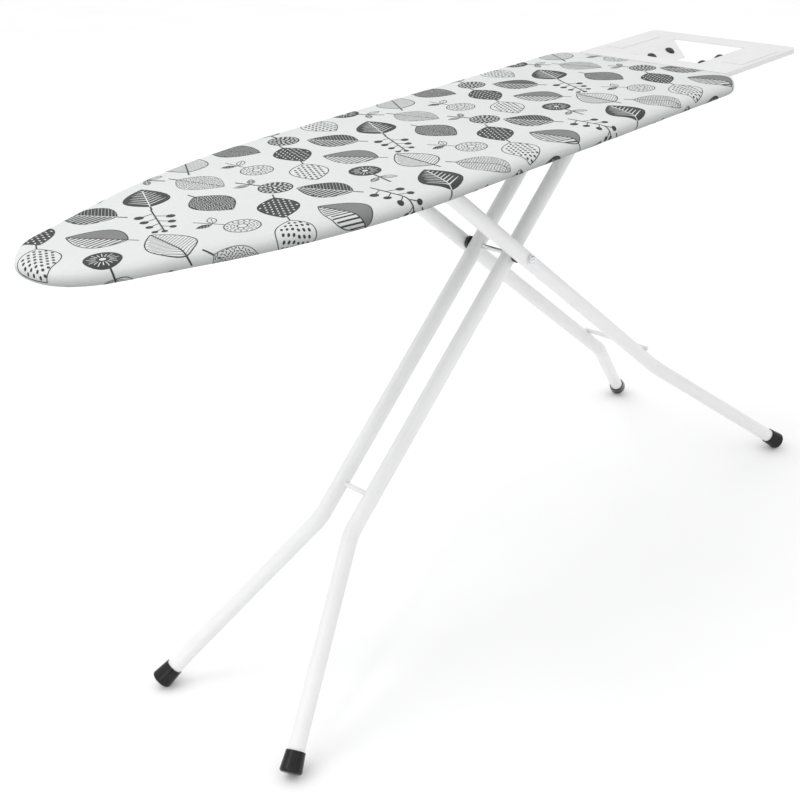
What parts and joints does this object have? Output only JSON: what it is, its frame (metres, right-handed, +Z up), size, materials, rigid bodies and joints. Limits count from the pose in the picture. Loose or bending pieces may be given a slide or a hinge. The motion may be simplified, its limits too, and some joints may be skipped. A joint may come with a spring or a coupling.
{
  "type": "folding ironing board",
  "caption": "Folding ironing board: padded, cloth-covered board on two crossed tube legs with black feet, a height lock, and a pressed-steel iron rest.",
  "frame": {"origin": "on the floor, under the middle of the overall length, in the symmetry plane of the board", "axes": "+X from the nose to the iron rest, +Y to the left, +Z up"},
  "size_m": [1.444, 0.4238, 0.786],
  "materials": {
    "cover_cloth": "printed cotton, matt",
    "pad_felt": "needled felt",
    "steel_zinc": "zinc-plated, satin",
    "steel_enamel": "white powder coat, semi-gloss",
    "plastic_black": "glossy black",
    "nylon_black": "black nylon, matt",
    "chrome": "bright chrome",
    "silicone_black": "black silicone, satin",
    "spring_steel": "oiled spring wire"
  },
  "bodies": {
    "board": {"cover": "cover_cloth", "pad": "pad_felt", "top_panel": "steel_zinc", "rim_left": "steel_zinc", "rim_right": "steel_zinc", "brace_front": "steel_enamel", "brace_mid": "steel_enamel", "brace_rear": "steel_enamel", "brace_end": "steel_enamel", "track_left": "steel_enamel", "track_right": "steel_enamel", "hinge_bracket_left": "steel_enamel", "hinge_bracket_right": "steel_enamel", "rivets": "steel_zinc", "lever_bearings": "nylon_black", "lever_spring": "spring_steel", "rest_rod_left": "steel_enamel", "rest_rod_right": "steel_enamel", "rest_clips": "nylon_black", "rest_plate": "steel_enamel", "rest_pads": "silicone_black"},
    "lock_lever": {"lock_shaft": "steel_zinc", "lock_comb": "steel_zinc", "lever_grip": "plastic_black"},
    "inner_leg": {"inner_tube_left": "steel_enamel", "inner_tube_right": "steel_enamel", "hinge_rod": "steel_zinc", "hinge_caps": "nylon_black", "inner_plugs": "nylon_black", "inner_crossbar": "steel_enamel", "inner_foot_left": "plastic_black", "inner_foot_right": "plastic_black", "pivot_rod": "chrome", "pivot_spacers": "nylon_black", "pivot_nuts": "chrome"},
    "outer_leg": {"outer_tube_left": "steel_enamel", "outer_tube_right": "steel_enamel", "slide_bar": "steel_zinc", "glides": "nylon_black", "outer_plugs": "nylon_black", "outer_crossbar": "steel_enamel", "outer_foot_left": "plastic_black", "outer_foot_right": "plastic_black"}
  },
  "joints": [
    {"name": "leg_fold", "type": "hinge", "parent": "board", "child": "inner_leg", "pos_m": [0.27281, 0, 0.749], "axis": [0, 1, 0], "range_deg": [-13.23, 36.47]},
    {"name": "leg_cross", "type": "hinge", "parent": "inner_leg", "child": "outer_leg", "pos_m": [0.0675, 0, 0.56755], "axis": [0, 1, 0], "range_deg": [-72.95, 26.47]},
    {"name": "lock_release", "type": "hinge", "parent": "board", "child": "lock_lever", "pos_m": [0, -0.03, 0.7618], "axis": [-1, 0, 0], "range_deg": [0, 12], "stiffness_Nm_per_rad": 0.5, "springref_deg": -14.32}
  ],
  "couplings": [
    {"joint": "leg_cross", "follows": "leg_fold", "ratio": -2}
  ]
}
